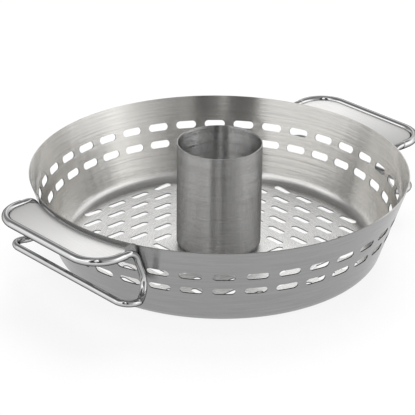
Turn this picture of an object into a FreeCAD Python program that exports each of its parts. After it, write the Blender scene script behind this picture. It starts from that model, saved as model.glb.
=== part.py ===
import FreeCAD, Part
import math
import os

# Stainless steel poultry roaster for a grill: a pierced, flared pan, a can cup
# that twist-locks onto a boss in the pan's floor, and two wire handles with
# pressed grip plates.  Millimetres, +Z up, the pan stands on z = 0, the origin
# is the centre of the pan, and the handles lie along +X and -X.

Vector = FreeCAD.Vector

# ---------------------------------------------------------------- pan
rim_radius = 170.0            # outside of the rim
pan_height = 77.0             # top of the rim above the ground
foot_radius = 145.0           # where the leaning wall, run on straight, meets the ground
pan_corner_radius = 12.0      # outside of the bend between floor and wall
pan_sheet = 1.0               # sheet thickness

# raised boss in the middle of the floor, for the cup lock
boss_rise = 4.5
boss_top_radius = 21.5
boss_flank_run = 3.5          # how far the flank spreads on its way down
press_bend_radius = 1.5       # inside radius of the small bends

# ---------------------------------------------------------------- wall slots
wall_slot_length = 19.5
wall_slot_width = 7.0
wall_slots_per_row = 36
upper_row_height = 51.0       # slot centres above the ground
lower_row_height = 35.2
slot_index_angle = -1.6       # the wall is pierced a little off the handle line

# ---------------------------------------------------------------- floor slots
floor_slot_length = 19.5
floor_slot_width = 6.0
first_line_distance = 43.6    # first line of slots from the centre
floor_line_pitch = 16.35      # from one line of slots to the next
floor_slot_pitch = 28.95      # along a line
floor_edge_margin = -2.5      # slots may run this far past the flat floor (negative: past it)
cup_margin = 4.0              # plain floor kept around the cup
corner_margin = 3.0           # plain floor kept along the diagonals

# ---------------------------------------------------------------- can cup
cup_radius = 38.2
cup_top = 102.2               # rim of the cup above the ground
cup_corner_radius = 6.0
cup_sheet = 0.8
seat_gap = 0.3                # free play between the cup and the pan
kick_side_gap = 2.5           # between the boss's flank and the cup's pushed-up bottom

# ---------------------------------------------------------------- twist lock
lock_count = 3
lock_circle_radius = 14.5
lock_turn = 32.0              # degrees from locked to free
stud_neck_diameter = 4.4
stud_tail_diameter = 3.6      # the riveted end that goes through the cup's bottom
stud_head_diameter = 7.0
stud_head_thickness = 1.3
rivet_dome_height = 1.4
neck_play = 0.3               # each side, in the narrow end of the keyhole
head_play = 0.5               # all round, in the wide end
rivet_play = 0.05

# ---------------------------------------------------------------- handles
wire_diameter = 6.0
wire_wall_gap = 0.1           # resistance-welded legs lie on the wall
upper_bar_overhang = 32.0     # centre of the upper bar beyond the rim
upper_height = 71.7
handle_half_width = 66.9      # centres of the legs from the handle's middle line
upper_corner_radius = 26.5
top_bend_radius = 11.0
lower_bend_height = 28.4
lower_bend_radius = 15.0
lower_bar_standoff = 22.1     # centre of the lower bar from the wall at its height
lower_height = 32.2
lower_flare = 27.0            # degrees that the lower loop spreads each side
lower_corner_radius = 12.0

# ---------------------------------------------------------------- grip plates
grip_sheet = 0.6
crimp_gap = 0.05              # between the curled edge and the wire
curl_opening = 28.0           # degrees left open beside the plate
grip_wall_gap = 0.5           # between the plate's inner edge and the pan's wall
grip_corner_cut = 8.0         # the plate's inner corners are cut back
curl_end_slant = 40.0         # degrees, the ends of the curl are cut on the slant

# sizes that follow from the ones above
wall_slope = (rim_radius - foot_radius) / pan_height
wall_angle = math.atan(wall_slope)
wire_radius = wire_diameter / 2.0
curl_inner_radius = wire_radius + crimp_gap
curl_outer_radius = curl_inner_radius + grip_sheet
cup_foot = pan_sheet + seat_gap
boss_foot_radius = boss_top_radius + boss_flank_run
flat_floor_radius = foot_radius - pan_corner_radius * (1 - math.sin(wall_angle)) / math.cos(wall_angle)


def wall_radius(height):
    """Outside radius of the leaning wall at a height."""
    return foot_radius + wall_slope * height


# distances of the handles' two bars from the pan's axis
upper_reach = rim_radius + upper_bar_overhang
lower_reach = wall_radius(lower_height) + lower_bar_standoff


def rounded_path(points, radii):
    """A wire of straight runs joined by tangent arcs; radii has one entry per inner point."""
    edges = []
    start = points[0]
    for index in range(1, len(points) - 1):
        corner = points[index]
        radius = radii[index - 1]
        back = (points[index - 1] - corner).normalize()
        ahead = (points[index + 1] - corner).normalize()
        half_angle = back.getAngle(ahead) / 2.0
        run = radius / math.tan(half_angle)
        middle = (back + ahead).normalize()
        centre = corner + middle * (radius / math.sin(half_angle))
        arc_start = corner + back * run
        arc_end = corner + ahead * run
        if (arc_start - start).Length > 1e-6:
            edges.append(Part.LineSegment(start, arc_start).toShape())
        edges.append(Part.Arc(arc_start, centre - middle * radius, arc_end).toShape())
        start = arc_end
    edges.append(Part.LineSegment(start, points[-1]).toShape())
    return Part.Wire(edges)


def offset_points(points, distance):
    """The same polyline in the XZ plane, shifted to its left by a distance."""
    normals = []
    for first, second in zip(points[:-1], points[1:]):
        along = (second - first).normalize()
        normals.append(Vector(-along.z, 0, along.x))
    shifted = [points[0] + normals[0] * distance]
    for index in range(1, len(points) - 1):
        before = normals[index - 1]
        after = normals[index]
        both = before + after
        shifted.append(points[index] + both * (distance / (1 + before.dot(after))))
    shifted.append(points[-1] + normals[-1] * distance)
    return shifted


def sheet_shell(points, inside_radii, sheet):
    """Pressed sheet turned about Z: a polyline of its lower face, thickened to the left."""
    shifted = offset_points(points, sheet)
    lower_radii = []
    upper_radii = []
    for index in range(1, len(points) - 1):
        before = points[index] - points[index - 1]
        after = points[index + 1] - points[index]
        turns_left = before.x * after.z - before.z * after.x > 0
        radius = inside_radii[index - 1]
        lower_radii.append(radius + sheet if turns_left else radius)
        upper_radii.append(radius if turns_left else radius + sheet)
    lower = rounded_path(points, lower_radii)
    upper = rounded_path(shifted, upper_radii)
    ends = [Part.LineSegment(points[0], shifted[0]).toShape(),
            Part.LineSegment(points[-1], shifted[-1]).toShape()]
    outline = Part.Wire(Part.__sortEdges__(lower.Edges + upper.Edges + ends))
    return Part.Face(outline).revolve(Vector(0, 0, 0), Vector(0, 0, 1), 360)


def stadium(length, width):
    """Slot outline with round ends, centred on the origin, long in X, in the XY plane."""
    half_run = (length - width) / 2.0
    radius = width / 2.0
    sides = [Part.LineSegment(Vector(-half_run, -radius, 0), Vector(half_run, -radius, 0)),
             Part.Arc(Vector(half_run, -radius, 0), Vector(half_run + radius, 0, 0),
                      Vector(half_run, radius, 0)),
             Part.LineSegment(Vector(half_run, radius, 0), Vector(-half_run, radius, 0)),
             Part.Arc(Vector(-half_run, radius, 0), Vector(-half_run - radius, 0, 0),
                      Vector(-half_run, -radius, 0))]
    return Part.Face(Part.Wire([side.toShape() for side in sides]))


def wall_slot_cutters():
    """Slots pierced square to the leaning wall, in two rows."""
    depth = 8.0 * pan_sheet
    cutters = []
    for height in (upper_row_height, lower_row_height):
        cutter = stadium(wall_slot_length, wall_slot_width).extrude(Vector(0, 0, depth))
        cutter.translate(Vector(0, 0, -depth / 2.0))
        # long side along Y, thickness along the wall's normal
        cutter.rotate(Vector(0, 0, 0), Vector(0, 0, 1), 90)
        cutter.rotate(Vector(0, 0, 0), Vector(0, 1, 0), 90 + math.degrees(wall_angle))
        cutter.translate(Vector(wall_radius(height) - pan_sheet / 2.0, 0, height))
        for index in range(wall_slots_per_row):
            copy = cutter.copy()
            turn = slot_index_angle + 360.0 * index / wall_slots_per_row
            copy.rotate(Vector(0, 0, 0), Vector(0, 0, 1), turn)
            cutters.append(copy)
    return cutters


def floor_slot_places():
    """Distance out and distance along for one quarter: staggered lines square to the handle axis."""
    places = []
    line = 0
    half_run = (floor_slot_length - floor_slot_width) / 2.0
    limit = flat_floor_radius - floor_edge_margin - floor_slot_width / 2.0
    while True:
        out = first_line_distance + line * floor_line_pitch
        if out > limit:
            break
        stagger = 0.0 if line % 2 == 0 else 0.5
        count = int(out / floor_slot_pitch) + 2
        for step in range(-count, count + 1):
            along = (step + stagger) * floor_slot_pitch
            in_quarter = abs(along) + floor_slot_length / 2.0 < out + corner_margin
            on_floor = math.hypot(out, abs(along) + half_run) < limit
            near = max(0.0, abs(along) - half_run)
            off_cup = math.hypot(out, near) - floor_slot_width / 2.0 > cup_radius + cup_margin
            if in_quarter and on_floor and off_cup:
                places.append((out, along))
        line += 1
    return places


def floor_slot_cutters():
    """The quarter's slots turned four times about Z."""
    depth = 4.0 * pan_sheet
    cutters = []
    for out, along in floor_slot_places():
        cutter = stadium(floor_slot_length, floor_slot_width).extrude(Vector(0, 0, depth))
        cutter.translate(Vector(0, 0, -1.5 * pan_sheet))
        cutter.rotate(Vector(0, 0, 0), Vector(0, 0, 1), 90)
        cutter.translate(Vector(out, along, 0))
        for quarter in range(4):
            copy = cutter.copy()
            copy.rotate(Vector(0, 0, 0), Vector(0, 0, 1), 90.0 * quarter)
            cutters.append(copy)
    return cutters


def keyhole_cutters():
    """Arc-shaped keyholes in the boss: narrow end at the locked place, wide end a turn further."""
    low = -pan_sheet
    tall = boss_rise + 4.0 * pan_sheet
    narrow = stud_neck_diameter / 2.0 + neck_play
    wide = stud_head_diameter / 2.0 + head_play
    groove_face = Part.Face(Part.Wire([
        Part.LineSegment(Vector(lock_circle_radius - narrow, 0, low),
                         Vector(lock_circle_radius + narrow, 0, low)).toShape(),
        Part.LineSegment(Vector(lock_circle_radius + narrow, 0, low),
                         Vector(lock_circle_radius + narrow, 0, low + tall)).toShape(),
        Part.LineSegment(Vector(lock_circle_radius + narrow, 0, low + tall),
                         Vector(lock_circle_radius - narrow, 0, low + tall)).toShape(),
        Part.LineSegment(Vector(lock_circle_radius - narrow, 0, low + tall),
                         Vector(lock_circle_radius - narrow, 0, low)).toShape()]))
    groove = groove_face.revolve(Vector(0, 0, 0), Vector(0, 0, 1), lock_turn)
    stop = Part.makeCylinder(narrow, tall, Vector(lock_circle_radius, 0, low))
    mouth = Part.makeCylinder(wide, tall, Vector(lock_circle_radius, 0, low))
    mouth.rotate(Vector(0, 0, 0), Vector(0, 0, 1), lock_turn)
    keyhole = groove.fuse([stop, mouth]).removeSplitter()
    cutters = []
    for index in range(lock_count):
        copy = keyhole.copy()
        copy.rotate(Vector(0, 0, 0), Vector(0, 0, 1), 360.0 * index / lock_count)
        cutters.append(copy)
    return cutters


def make_pan():
    """Spun pan: boss, flat floor, rounded corner and leaning wall in one sheet, then pierced."""
    lower_face = [Vector(0, 0, boss_rise),
                  Vector(boss_top_radius, 0, boss_rise),
                  Vector(boss_foot_radius, 0, 0),
                  Vector(foot_radius, 0, 0),
                  Vector(rim_radius, 0, pan_height)]
    bends = [press_bend_radius, press_bend_radius, pan_corner_radius - pan_sheet]
    pan = sheet_shell(lower_face, bends, pan_sheet)
    return pan.cut(wall_slot_cutters() + floor_slot_cutters() + keyhole_cutters())


def lock_places():
    """Centres of the lock studs, at rest in the narrow ends of the keyholes."""
    places = []
    for index in range(lock_count):
        turn = 2 * math.pi * index / lock_count
        places.append(Vector(lock_circle_radius * math.cos(turn), lock_circle_radius * math.sin(turn), 0))
    return places


def make_cup():
    """Drawn cup with a pushed-up bottom that sits over the pan's boss."""
    kick_foot = boss_foot_radius + kick_side_gap
    kick_top = boss_top_radius + kick_side_gap
    lower_face = [Vector(0, 0, cup_foot + boss_rise),
                  Vector(kick_top, 0, cup_foot + boss_rise),
                  Vector(kick_foot, 0, cup_foot),
                  Vector(cup_radius, 0, cup_foot),
                  Vector(cup_radius, 0, cup_top)]
    bends = [press_bend_radius, press_bend_radius, cup_corner_radius - cup_sheet]
    cup = sheet_shell(lower_face, bends, cup_sheet)
    bore = stud_tail_diameter / 2.0 + rivet_play
    holes = []
    for place in lock_places():
        holes.append(Part.makeCylinder(bore, 4 * cup_sheet, place + Vector(0, 0, cup_foot + boss_rise - cup_sheet)))
    return cup.cut(holes)


def make_lock_studs():
    """Headed studs riveted to the cup's bottom; their heads hook under the boss."""
    head_top = boss_rise - seat_gap
    head_bottom = head_top - stud_head_thickness
    cup_under = cup_foot + boss_rise
    cup_inside = cup_under + cup_sheet
    head = stud_head_diameter / 2.0
    neck = stud_neck_diameter / 2.0
    tail = stud_tail_diameter / 2.0
    edge = head_bottom + stud_head_thickness / 3.0
    outline = [Vector(0, 0, head_bottom), Vector(head - 0.5, 0, head_bottom), Vector(head, 0, edge),
               Vector(head, 0, head_top), Vector(neck, 0, head_top), Vector(neck, 0, cup_under),
               Vector(tail, 0, cup_under), Vector(tail, 0, cup_inside), Vector(head, 0, cup_inside)]
    edges = []
    for first, second in zip(outline[:-1], outline[1:]):
        edges.append(Part.LineSegment(first, second).toShape())
    # the rivet's dome is part of a sphere centred on the stud's axis
    dome_radius = (head ** 2 + rivet_dome_height ** 2) / (2 * rivet_dome_height)
    dome_half_angle = math.asin(head / dome_radius) / 2.0
    dome_centre = Vector(0, 0, cup_inside + rivet_dome_height - dome_radius)
    shoulder = dome_centre + Vector(math.sin(dome_half_angle), 0, math.cos(dome_half_angle)) * dome_radius
    top = dome_centre + Vector(0, 0, dome_radius)
    edges.append(Part.Arc(outline[-1], shoulder, top).toShape())
    edges.append(Part.LineSegment(top, outline[0]).toShape())
    stud = Part.Face(Part.Wire(edges)).revolve(Vector(0, 0, 0), Vector(0, 0, 1), 360)
    studs = []
    for place in lock_places():
        copy = stud.copy()
        copy.translate(place)
        studs.append(copy)
    return Part.makeCompound(studs)


def leg_centre(height):
    """Where the centre line of a leg, lying on the wall, is at a height."""
    clear = wall_radius(height) + (wire_radius + wire_wall_gap) / math.cos(wall_angle)
    return Vector(math.sqrt(clear ** 2 - handle_half_width ** 2), handle_half_width, height)


def make_handle_wire():
    """One closed ring of wire: upper loop, two legs down the wall, lower finger loop."""
    low_bend = leg_centre(lower_bend_height)
    spread = (lower_reach - low_bend.x) * math.tan(math.radians(lower_flare))
    points = [Vector(upper_reach, 0, upper_height),
              Vector(upper_reach, handle_half_width, upper_height),
              leg_centre(upper_height),
              low_bend,
              Vector(lower_reach, handle_half_width + spread, lower_height),
              Vector(lower_reach, 0, lower_height)]
    radii = [upper_corner_radius, top_bend_radius, lower_bend_radius, lower_corner_radius]
    path = rounded_path(points, radii)
    section = Part.Face(Part.Wire(Part.makeCircle(wire_radius, points[0], Vector(0, 1, 0))))
    half = path.makePipe(section)
    other_half = half.mirror(Vector(0, 0, 0), Vector(0, 1, 0))
    return half.fuse(other_half).removeSplitter()


def curl_path():
    """Centre line of the upper loop from one end of the curl to the other."""
    top_bend = leg_centre(upper_height)
    turn = math.pi / 2 - math.atan2(leg_centre(upper_height).x - leg_centre(lower_bend_height).x,
                                    upper_height - lower_bend_height)
    end = top_bend.x + top_bend_radius * math.tan(turn / 2)
    points = [Vector(end, -handle_half_width, upper_height),
              Vector(upper_reach, -handle_half_width, upper_height),
              Vector(upper_reach, handle_half_width, upper_height),
              Vector(end, handle_half_width, upper_height)]
    return rounded_path(points, [upper_corner_radius, upper_corner_radius]), end


def make_curl():
    """The plate's edge rolled round the wire, left open beside the plate, ends cut on the slant."""
    path, end = curl_path()
    # section in the plane square to the first run; the plate is on its +Y side
    centre = Vector(end, -handle_half_width, upper_height)
    first = math.radians(6.0)
    last = math.radians(-360.0 + curl_opening)
    middle = (first + last) / 2.0

    def on_ring(radius, angle):
        return centre + Vector(0, radius * math.cos(angle), radius * math.sin(angle))

    section = Part.Face(Part.Wire([
        Part.Arc(on_ring(curl_outer_radius, first), on_ring(curl_outer_radius, middle),
                 on_ring(curl_outer_radius, last)).toShape(),
        Part.LineSegment(on_ring(curl_outer_radius, last), on_ring(curl_inner_radius, last)).toShape(),
        Part.Arc(on_ring(curl_inner_radius, last), on_ring(curl_inner_radius, middle),
                 on_ring(curl_inner_radius, first)).toShape(),
        Part.LineSegment(on_ring(curl_inner_radius, first), on_ring(curl_outer_radius, first)).toShape()]))
    curl = path.makePipe(section)
    size = 6 * curl_outer_radius
    slant = Part.makeBox(size, 4 * handle_half_width, size,
                         Vector(-size, -2 * handle_half_width, -size / 2.0))
    slant.rotate(Vector(0, 0, 0), Vector(0, 1, 0), curl_end_slant)
    slant.translate(Vector(end + curl_outer_radius * math.tan(math.radians(curl_end_slant)), 0, upper_height))
    return curl.cut(slant), end


def make_plate(end):
    """Flat plate inside the loop, its inner edge an arc that follows the pan's wall."""
    inner_radius = wall_radius(upper_height + grip_sheet / 2.0) + grip_wall_gap
    seam = (curl_inner_radius + curl_outer_radius) / 2.0
    outer_x = upper_reach - seam
    side_y = handle_half_width - seam
    corner = upper_corner_radius - seam
    arc_y = side_y - grip_corner_cut
    arc_x = math.sqrt(inner_radius ** 2 - arc_y ** 2)
    loop = rounded_path([Vector(arc_x, -arc_y, 0), Vector(end, -side_y, 0), Vector(outer_x, -side_y, 0),
                         Vector(outer_x, side_y, 0), Vector(end, side_y, 0), Vector(arc_x, arc_y, 0)],
                        [1.0, corner, corner, 1.0])
    inner = Part.Arc(Vector(arc_x, arc_y, 0), Vector(inner_radius, 0, 0), Vector(arc_x, -arc_y, 0)).toShape()
    plate = Part.Face(Part.Wire(loop.Edges + [inner])).extrude(Vector(0, 0, grip_sheet))
    plate.translate(Vector(0, 0, upper_height - grip_sheet / 2.0))
    return plate


def make_grip():
    """Pressed grip plate with its edge curled round the upper loop of the wire."""
    curl, end = make_curl()
    return curl.fuse(make_plate(end)).removeSplitter()


def opposite(shape):
    """The same piece on the other side of the pan."""
    copy = shape.copy()
    copy.rotate(Vector(0, 0, 0), Vector(0, 0, 1), 180)
    return copy


os.makedirs("parts", exist_ok=True)
wire = make_handle_wire()
grip = make_grip()
nodes = {
    "roasting_pan": make_pan(),
    "can_cup": make_cup(),
    "lock_studs": make_lock_studs(),
    "handle_wire_right": wire,
    "handle_wire_left": opposite(wire),
    "grip_plate_right": grip,
    "grip_plate_left": opposite(grip),
}
for name, shape in nodes.items():
    shape.exportStep("parts/" + name + ".step")
    print(name, "solids", len(shape.Solids), "volume", round(shape.Volume, 1), "valid", shape.isValid())
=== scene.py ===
import math
import bpy
from mathutils import Matrix, Vector


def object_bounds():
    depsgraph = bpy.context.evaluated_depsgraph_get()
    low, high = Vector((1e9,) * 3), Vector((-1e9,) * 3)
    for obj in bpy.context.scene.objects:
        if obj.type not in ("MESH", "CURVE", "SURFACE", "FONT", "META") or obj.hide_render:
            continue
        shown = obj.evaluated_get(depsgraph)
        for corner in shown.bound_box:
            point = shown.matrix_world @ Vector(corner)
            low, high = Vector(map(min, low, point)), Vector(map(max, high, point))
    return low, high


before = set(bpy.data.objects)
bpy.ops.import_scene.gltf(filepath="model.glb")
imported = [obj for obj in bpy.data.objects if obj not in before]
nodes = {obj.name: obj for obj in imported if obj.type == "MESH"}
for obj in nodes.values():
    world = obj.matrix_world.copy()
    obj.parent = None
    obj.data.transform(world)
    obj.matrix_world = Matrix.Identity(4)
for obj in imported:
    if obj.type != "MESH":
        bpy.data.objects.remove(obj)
cadBox = [list(corner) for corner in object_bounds()]
print("stage: packed model loaded,", len(nodes), "nodes")


# a node's output, which can be used in sums
class Val:
    def __init__(self, finish, socket):
        self.finish = finish
        self.socket = socket

    def __add__(self, other):
        return self.finish.maths("ADD", self, other)

    def __sub__(self, other):
        return self.finish.maths("SUBTRACT", self, other)

    def __rsub__(self, other):
        return self.finish.maths("SUBTRACT", other, self)

    def __mul__(self, other):
        return self.finish.maths("MULTIPLY", self, other)

    def __truediv__(self, other):
        return self.finish.maths("DIVIDE", self, other)

    def __rtruediv__(self, other):
        return self.finish.maths("DIVIDE", other, self)

    __radd__ = __add__
    __rmul__ = __mul__


# the nodes of one material or sky, each made by the same method
class Finish:
    def __init__(self, tree):
        self.tree = tree
        tree.nodes.clear()

    # the settings are set before the sockets get their values or links
    def node(self, kind, settings=None, sockets=None):
        made = self.tree.nodes.new(kind)
        for name, value in (settings or {}).items():
            if name == "stops":
                self.setStops(made.color_ramp.elements, value)
            else:
                setattr(made, name, value)
        for name, value in (sockets or {}).items():
            target = made.inputs[name]
            if isinstance(value, Val):
                self.tree.links.new(value.socket, target)
            else:
                target.default_value = value
        return made

    def setStops(self, elements, stops):
        while len(elements) < len(stops):
            elements.new(0.5)
        for element, (position, level) in zip(elements, stops):
            element.position = position
            element.color = grey(level)

    def out(self, made, name=0):
        return Val(self, made.outputs[name])

    def maths(self, operation, first, second=0.0):
        return self.out(self.node("ShaderNodeMath", {"operation": operation}, {0: first, 1: second}))

    def vectors(self, operation, sockets):
        return self.out(self.node("ShaderNodeVectorMath", {"operation": operation}, sockets))

    # a Mix node's colours are its inputs 6 and 7, and its output 2
    def mix(self, share, first, second):
        made = self.node("ShaderNodeMix", {"data_type": "RGBA"}, {0: share, 6: first, 7: second})
        return self.out(made, 2)

    # goes from newLow to newHigh as the value goes from low to high, and is level outside them
    def spread(self, value, low, high, newLow=0.0, newHigh=1.0):
        made = self.node("ShaderNodeMapRange", {"clamp": True}, {
            "Value": value, "From Min": low, "From Max": high, "To Min": newLow, "To Max": newHigh})
        return self.out(made)

    def under(self, value, low, high):
        return self.spread(value, low, high, 1.0, 0.0)

    def noise(self, vector, scale, detail, roughness=0.5):
        made = self.node("ShaderNodeTexNoise", {"noise_dimensions": "3D"}, {
            "Vector": vector, "Scale": scale, "Detail": detail, "Roughness": roughness})
        return self.out(made, "Fac")

    def vector(self, x, y, z):
        return self.out(self.node("ShaderNodeCombineXYZ", None, {0: x, 1: y, 2: z}))

    # where a point is, or with "Normal" which way it faces, along the piece's own axes
    def point(self, output="Object"):
        coords = self.out(self.node("ShaderNodeTexCoord"), output)
        parts = self.node("ShaderNodeSeparateXYZ", None, {0: coords})
        return [self.out(parts, axis) for axis in range(3)]


# warmth takes the grey a little towards amber
def grey(level, warmth=0.0):
    return (level * (1 + 0.5 * warmth), level, level * (1 - warmth), 1.0)


def newMaterial(name):
    material = bpy.data.materials.new(name)
    material.use_nodes = True
    return material, Finish(material.node_tree)


def dress(node, material):
    mesh = nodes[node].data
    mesh.materials.clear()
    mesh.materials.append(material)
    print("stage:", node, "gets", material.name)


# the share of the coarse lines in the brushed grain, and the values of a noise that it runs between
grain = {"coarseShare": 0.55, "streaks": (0.3, 0.7), "stains": (0.35, 0.65)}

# how far a face looks outward, up or across where one finish ends and where the next is full
facing = {"outside": (-0.2, 0.2), "flat": (0.95, 0.995), "cut": (0.4, 0.6), "shadedUnderside": (-0.5, 0.3)}

nearAxis = 0.001  # metres, so that nothing is divided by zero on the axis


# spun and brushed steel, with its grain round the upright axis
def ringSteel(name, look):
    material, f = newMaterial(name)
    x, y, z = f.point()
    nx, ny, nz = f.point("Normal")
    radius = f.maths("SQRT", x * x + y * y)
    outX = x / (radius + nearAxis)
    outY = y / (radius + nearAxis)
    along = radius + z

    def lines(length, rings, detail, roughness):
        spot = f.vector(outX * look[length], outY * look[length], along * look[rings])
        return f.noise(spot, 1.0, detail, roughness)

    coarse = lines("coarseLength", "coarseRings", detail=3.0, roughness=0.6)
    fine = lines("fineLength", "fineRings", detail=2.0, roughness=0.7)
    cloud = f.noise(f.vector(x, y, z), look["cloudScale"], detail=3.0)
    streak = f.spread(coarse * grain["coarseShare"] + fine * (1 - grain["coarseShare"]), *grain["streaks"])
    tone = f.mix(streak, look["dark"], look["light"])
    tone = f.mix(f.spread(cloud, *grain["stains"], 0.0, look["cloudShare"]), tone, look["stain"])
    # painted shade and light: the outside, which faces away from the axis or down, is painted darker than
    # the inside for the shadowed floor it mirrors, and the cup's inside is painted lighter for the light
    # bounced in it
    outward = nx * outX + ny * outY
    outside = f.spread(outward - nz, *facing["outside"])
    tone = f.mix(outside, tone, f.mix(streak, look["outsideShadeDark"], look["outsideShadeLight"]))
    # the bend at the foot of the wall is given a lighter tone than the wall, the flat floor inside it is
    # rubbed
    bend = f.under(z, *look["bendHeights"]) * (1.0 - outside)
    tone = f.mix(bend, tone, f.mix(streak, look["bendDark"], look["bendLight"]))
    flat = bend * f.spread(nz, *facing["flat"])
    if "flatEdge" in look:
        flat = flat * f.under(radius, *look["flatEdge"])
    tone = f.mix(flat, tone, f.mix(streak, look["flatDark"], look["flatLight"]))
    # painted shade: the outside of the foot is painted dark for the contact shadow under it, and the cut
    # faces of the slots are painted dark for the shade in them
    tone = f.mix(outside * f.under(z, *look["footShadeHeights"]), tone, look["footShade"])
    if "cut" in look:
        tone = f.mix(slotCuts(f, look, z, radius, outward, nz), tone, look["cut"])
    rough = (look["roughness"] + (streak - 0.5) * look["roughnessSpan"]
             + (cloud - 0.5) * look["cloudRough"] + flat * look["flatRough"])
    metal = 1.0 - flat * look["flatMatt"] if "flatMatt" in look else 1.0
    groove = f.maths("FLOOR", along * look["ringRate"] + coarse * look["ringDrift"])
    rings = f.out(f.node("ShaderNodeTexWhiteNoise", {"noise_dimensions": "1D"}, {"W": groove}))
    lean = (rings - 0.5) * look["ringLean"] + (coarse - 0.5) * look["coarseLean"]
    shader = f.node("ShaderNodeBsdfPrincipled", None, {
        "Base Color": tone, "Roughness": rough, "Metallic": metal, "Specular Tint": look["edgeTint"],
        "Normal": leantNormal(f, outX, outY, lean),
        "Anisotropic": look["anisotropic"], "Anisotropic Rotation": look["rotation"]})
    f.node("ShaderNodeOutputMaterial", None, {"Surface": f.out(shader)})
    return material


# a slot's cut faces, which are painted dark as shade, look neither in nor out of the leaning wall, and
# neither up nor down in the floor
def slotCuts(f, look, z, radius, outward, nz):
    wallFace = outward * math.cos(look["wallLean"]) - nz * math.sin(look["wallLean"])
    inWall = (f.under(f.maths("ABSOLUTE", wallFace), *facing["cut"])
              * f.spread(z, *look["slotFeet"]) * f.under(z, *look["slotTops"]))
    inFloor = (f.under(f.maths("ABSOLUTE", nz), *facing["cut"])
               * f.under(z, *look["floorHeights"]) * f.under(radius, *look["floorSlots"]))
    return inWall + inFloor


# the fine grooves run round the axis, so they lean the surface up and down but never sideways
def leantNormal(f, outX, outY, lean):
    normal = f.out(f.node("ShaderNodeNewGeometry"), "Normal")
    # the direction round the axis turns with the piece, the normal is already the world's
    turned = {"vector_type": "VECTOR", "convert_from": "OBJECT", "convert_to": "WORLD"}
    sideways = f.out(f.node("ShaderNodeVectorTransform", turned, {0: f.vector(0.0 - outY, outX, 0.0)}))
    upward = f.vectors("CROSS_PRODUCT", {0: sideways, 1: normal})
    leant = f.vectors("ADD", {0: normal, 1: f.vectors("SCALE", {0: upward, "Scale": lean})})
    return f.vectors("NORMALIZE", {0: leant})


# heights and radii are in metres, each pair from where one finish ends to where the next is full
panLook = {
    "dark": grey(0.61, 0.036), "light": grey(0.76, 0.036), "stain": grey(0.64, 0.046),
    # the outside tones are painted shade for the shadowed floor the outer wall mirrors
    "outsideShadeDark": grey(0.285), "outsideShadeLight": grey(0.365),
    # the foot tone is painted contact shadow
    "footShade": grey(0.16), "footShadeHeights": (0.0005, 0.004),
    "bendDark": grey(0.68, 0.02), "bendLight": grey(0.80, 0.02), "bendHeights": (0.008, 0.012),
    "flatDark": grey(0.75, 0.01), "flatLight": grey(0.89, 0.01), "flatEdge": (0.130, 0.138),
    "flatRough": 0.07, "flatMatt": 0.55,
    # the cut tone is painted shade on the slots' cut faces
    "cut": grey(0.12), "wallLean": math.radians(18.0),
    "slotFeet": (0.020, 0.022), "slotTops": (0.072, 0.074),
    "floorHeights": (0.0011, 0.0014), "floorSlots": (0.134, 0.136),
    "coarseLength": 3.0, "coarseRings": 420.0, "fineLength": 7.0, "fineRings": 1600.0,
    "cloudScale": 14.0, "cloudShare": 0.35, "cloudRough": 0.06,
    "roughness": 0.20, "roughnessSpan": 0.05, "edgeTint": grey(1.0),
    "ringRate": 9000.0, "ringDrift": 20.0, "ringLean": 0.18, "coarseLean": 0.07,
    "anisotropic": 1.0, "rotation": 0.25,
}
dress("roasting_pan", ringSteel("spunSteel", panLook))

cupLook = {
    "dark": grey(0.69, 0.01), "light": grey(0.75, 0.01), "stain": grey(0.69, 0.01),
    # the outside tones are painted shade, the inside tones painted light bounced inside the cup
    "outsideShadeDark": grey(0.46, 0.01), "outsideShadeLight": grey(0.52, 0.01),
    # the foot tone is painted contact shadow
    "footShade": grey(0.12), "footShadeHeights": (0.002, 0.009),
    "bendDark": grey(0.8), "bendLight": grey(0.9), "bendHeights": (0.008, 0.012),
    "flatDark": grey(0.8), "flatLight": grey(0.9), "flatRough": 0.1,
    "coarseLength": 1.3, "coarseRings": 1400.0, "fineLength": 5.0, "fineRings": 1900.0,
    "cloudScale": 22.0, "cloudShare": 0.15, "cloudRough": 0.05,
    "roughness": 0.25, "roughnessSpan": 0.0, "edgeTint": grey(0.35),
    "ringRate": 40000.0, "ringDrift": 30.0, "ringLean": 1.25, "coarseLean": 0.10,
    "anisotropic": 1.0, "rotation": 0.25,
}
dress("can_cup", ringSteel("drawnSteel", cupLook))


# polished steel of the wire and the studs, brushed along the handle, and matt on the flat of a plate
def handleSteel(name, look):
    material, f = newMaterial(name)
    x, y, z = f.point()
    nz = f.point("Normal")[2]
    spot = f.vector(x * look["lineRate"], y * look["lineLength"], z * look["lineRate"])
    streak = f.spread(f.noise(spot, 1.0, detail=3.0, roughness=0.6), *grain["streaks"])
    cloud = f.noise(f.vector(x, y, z), look["cloudScale"], detail=3.0)
    tone = f.mix(streak, look["dark"], look["light"])
    rough = look["roughness"] + (streak - 0.5) * look["roughnessSpan"] + (cloud - 0.5) * look["cloudRough"]
    metal = 1.0
    if "flatTop" in look:
        # painted shade: both plates are one part, turned half round, and are painted darker towards the
        # same end
        along = y * f.maths("SIGN", x)
        face = f.mix(streak, look["flatDark"], look["flatLight"])
        face = f.mix(f.under(along, *look["shadeSpan"]), face, look["shade"])
        flat = f.spread(nz, *look["flatFacing"]) * f.under(z, *look["flatTop"])
        tone = f.mix(flat, tone, face)
        rough = rough + flat * look["flatRough"]
        metal = 1.0 - flat * look["flatMatt"]
    # painted shade: faces that look down are painted darker
    tone = f.mix(f.under(nz, *facing["shadedUnderside"]), tone, look["shadedUnderside"])
    shader = f.node("ShaderNodeBsdfPrincipled", None, {
        "Base Color": tone, "Roughness": rough, "Metallic": metal, "Specular Tint": look["edgeTint"]})
    f.node("ShaderNodeOutputMaterial", None, {"Surface": f.out(shader)})
    return material


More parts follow.
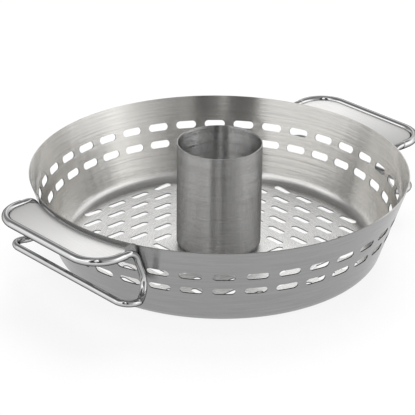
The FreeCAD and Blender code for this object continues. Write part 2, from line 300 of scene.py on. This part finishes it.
gripLook = {
    "dark": grey(0.68), "light": grey(0.80), "shadedUnderside": grey(0.20),
    "flatDark": grey(0.73, 0.015), "flatLight": grey(0.83, 0.015), "flatRough": 0.38, "flatMatt": 0.8,
    "flatTop": (0.0722, 0.0725), "flatFacing": (0.95, 0.99),
    "shade": grey(0.42, 0.015), "shadeSpan": (-0.065, 0.03),
    "lineRate": 1500.0, "lineLength": 30.0, "cloudScale": 30.0,
    "roughness": 0.09, "roughnessSpan": 0.04, "cloudRough": 0.04, "edgeTint": grey(0.0),
}
gripSteel = handleSteel("pressedSteel", gripLook)
dress("grip_plate_right", gripSteel)
dress("grip_plate_left", gripSteel)

wireLook = {
    "dark": grey(0.60), "light": grey(0.72), "shadedUnderside": grey(0.20),
    "lineRate": 900.0, "lineLength": 60.0, "cloudScale": 60.0,
    "roughness": 0.08, "roughnessSpan": 0.04, "cloudRough": 0.04, "edgeTint": grey(0.0),
}
wireSteel = handleSteel("polishedWire", wireLook)
dress("handle_wire_right", wireSteel)
dress("handle_wire_left", wireSteel)

studLook = {
    "dark": grey(0.58), "light": grey(0.70), "shadedUnderside": grey(0.4),
    "lineRate": 700.0, "lineLength": 700.0, "cloudScale": 200.0,
    "roughness": 0.35, "roughnessSpan": 0.10, "cloudRough": 0.06, "edgeTint": grey(0.6),
}
dress("lock_studs", handleSteel("studSteel", studLook))


# the sky and the lamp are turned to the camera's azimuth
cameraLook = {
    "azimuth": -43.1, "elevation": 25.695, "roll": 0.681,     # degrees
    "distance": 1.75966, "aside": -0.009891, "up": 0.033935,  # metres
    "lens": 167.39, "sensor": 36.0,                           # millimetres
    "nearest": 0.05, "farthest": 30.0,                        # metres
}

# gap is the air that keeps the floor from flickering against the foot of the pan, in metres
floorLook = {
    "halfSize": 6.0, "gap": 0.0002, "tone": 0.93, "cloudScale": 3.0, "cloudDepth": 0.01,
    "roughness": 0.9, "glow": 0.88,
}


def makeFloor(look):
    half = look["halfSize"]
    mesh = bpy.data.meshes.new("studioFloor")
    corners = [(-half, -half, 0), (half, -half, 0), (half, half, 0), (-half, half, 0)]
    mesh.from_pydata(corners, [], [(0, 1, 2, 3)])
    floor = bpy.data.objects.new("studioFloor", mesh)
    bpy.context.scene.collection.objects.link(floor)
    floor.location.z = cadBox[0][2] - look["gap"]
    material, f = newMaterial("paleFloor")
    cloud = f.spread(f.noise(f.vector(*f.point()), look["cloudScale"], detail=2.0), *grain["streaks"])
    tone = f.mix(cloud, grey(look["tone"]), grey(look["tone"] * (1 - look["cloudDepth"])))
    shader = f.node("ShaderNodeBsdfPrincipled", None, {
        "Base Color": tone, "Roughness": look["roughness"], "Specular IOR Level": 0.0})
    # the floor is a lit table: it glows white under the shadow it keeps
    rays = f.node("ShaderNodeLightPath")
    seen = f.maths("MAXIMUM", f.out(rays, "Is Camera Ray"), f.out(rays, "Is Glossy Ray"))
    seen = f.maths("MAXIMUM", seen, f.out(rays, "Is Transmission Ray"))
    light = f.node("ShaderNodeEmission", None, {"Color": grey(1.0), "Strength": 1.0})
    both = f.node("ShaderNodeMixShader", None, {
        0: seen * look["glow"], 1: f.out(shader), 2: f.out(light)})
    f.node("ShaderNodeOutputMaterial", None, {"Surface": f.out(both)})
    mesh.materials.append(material)
    print("stage: floor laid")


makeFloor(floorLook)

# three rings of soft boxes and dark cloths, one above the other: low ends at lowTop, high goes
# from boxBottom to boxTop, and ceiling starts at ceilingFrom, in degrees above the horizon.
# A ring's pairs are degrees from the camera's side, with the right-hand side positive, and levels
skyLook = {
    "strength": 1.0,
    "lowTop": 15.0, "boxBottom": 21.0, "boxTop": 34.0, "ceilingFrom": 44.0,
    "low": [(-180, 0.9), (-140, 0.9), (-104, 0.75), (-88, 1.1), (-68, 1.1), (-58, 0.9), (-36, 0.84),
            (-23.5, 0.75), (-21, 0.14), (-7, 0.1), (-3.5, 0.6), (-1.5, 0.6), (2, 0.06), (14, 0.06),
            (18, 0.34), (36, 0.44), (52, 0.82), (66, 1.4), (84, 1.45), (100, 1.4), (125, 0.6),
            (150, 0.8), (180, 0.9)],
    "high": [(-180, 1.2), (-176, 1.1), (-166, 0.4), (-158, 0.3), (-115, 0.3), (-102, 0.9), (-90, 1.5),
             (-60, 1.45), (-27, 1.45), (-25, 0.14), (-6, 0.08), (-3.5, 0.4), (-1.5, 0.4), (1, 0.05),
             (13, 0.05), (20, 0.40), (34, 0.60), (50, 0.80), (70, 1.4), (100, 1.4), (130, 1.1),
             (150, 0.9), (166, 0.75), (173, 1.15), (180, 1.2)],
    "ceiling": [(-180, 0.22), (-80, 0.18), (-60, 0.45), (-28, 1.4), (-26, 0.0), (-11, 0.0), (-9, 1.3),
                (6, 1.3), (8, 0.0), (14, 0.0), (22, 0.32), (60, 0.32), (80, 0.25), (180, 0.22)],
}


def makeSky(look):
    world = bpy.data.worlds.new("studioSky")
    bpy.context.scene.world = world
    world.use_nodes = True
    f = Finish(world.node_tree)
    x, y, z = f.point("Generated")
    a = math.radians(cameraLook["azimuth"])
    turn = f.maths("ARCTAN2", x * math.cos(a) + y * math.sin(a), x * math.sin(a) - y * math.cos(a))
    share = turn * (0.5 / math.pi) + 0.5  # 0 to 1 from -180 to 180 degrees

    def ring(levels):
        stops = [((angle + 180) / 360, level) for angle, level in levels]
        return f.out(f.node("ShaderNodeValToRGB", {"stops": stops}, {"Fac": share}))

    def rise(start, end):
        return f.spread(z, math.sin(math.radians(look[start])), math.sin(math.radians(look[end])))

    tone = f.mix(rise("lowTop", "boxBottom"), ring(look["low"]), ring(look["high"]))
    tone = f.mix(rise("boxTop", "ceilingFrom"), tone, ring(look["ceiling"]))
    sky = f.node("ShaderNodeBackground", None, {"Color": tone, "Strength": look["strength"]})
    f.node("ShaderNodeOutputWorld", None, {"Surface": f.out(sky)})
    print("stage: sky set")


makeSky(skyLook)


# the direction from the pan to a place at these degrees
def direction(azimuth, elevation):
    a = math.radians(azimuth)
    e = math.radians(elevation)
    return Vector((math.sin(a) * math.cos(e), -math.cos(a) * math.cos(e), math.sin(e)))


def makeCamera(look):
    a = math.radians(look["azimuth"])
    r = math.radians(look["roll"])
    back = direction(look["azimuth"], look["elevation"])
    level = Vector((math.cos(a), math.sin(a), 0.0))
    lift = back.cross(level)
    right = level * math.cos(r) + lift * math.sin(r)
    up = lift * math.cos(r) - level * math.sin(r)
    data = bpy.data.cameras.new("studioCamera")
    data.sensor_width = look["sensor"]
    data.lens = look["lens"]
    data.clip_start = look["nearest"]
    data.clip_end = look["farthest"]
    camera = bpy.data.objects.new("studioCamera", data)
    bpy.context.scene.collection.objects.link(camera)
    turn = Matrix((right, up, back)).transposed().to_4x4()
    spot = back * look["distance"] + right * look["aside"] + up * look["up"]
    camera.matrix_world = Matrix.Translation(spot) @ turn
    bpy.context.scene.camera = camera
    print("stage: camera placed")


makeCamera(cameraLook)


# one large soft lamp above and behind, in degrees from the camera's side, metres and watts
lampLook = {
    "azimuth": 170.0, "elevation": 58.0, "distance": 4.5, "size": (2.8, 2.8), "power": 195.0,
    "inMetal": False,
}


def makeLamp(look):
    toward = direction(cameraLook["azimuth"] + look["azimuth"], look["elevation"])
    data = bpy.data.lights.new("softTop", "AREA")
    data.shape = "RECTANGLE"
    data.size, data.size_y = look["size"]
    data.energy = look["power"]
    lamp = bpy.data.objects.new("softTop", data)
    bpy.context.scene.collection.objects.link(lamp)
    lamp.visible_glossy = look["inMetal"]
    lamp.location = toward * look["distance"]
    lamp.rotation_mode = "QUATERNION"
    lamp.rotation_quaternion = toward.to_track_quat("Z", "Y")
    print("stage: lamp hung")


makeLamp(lampLook)

bpy.context.scene.view_settings.view_transform = "Standard"
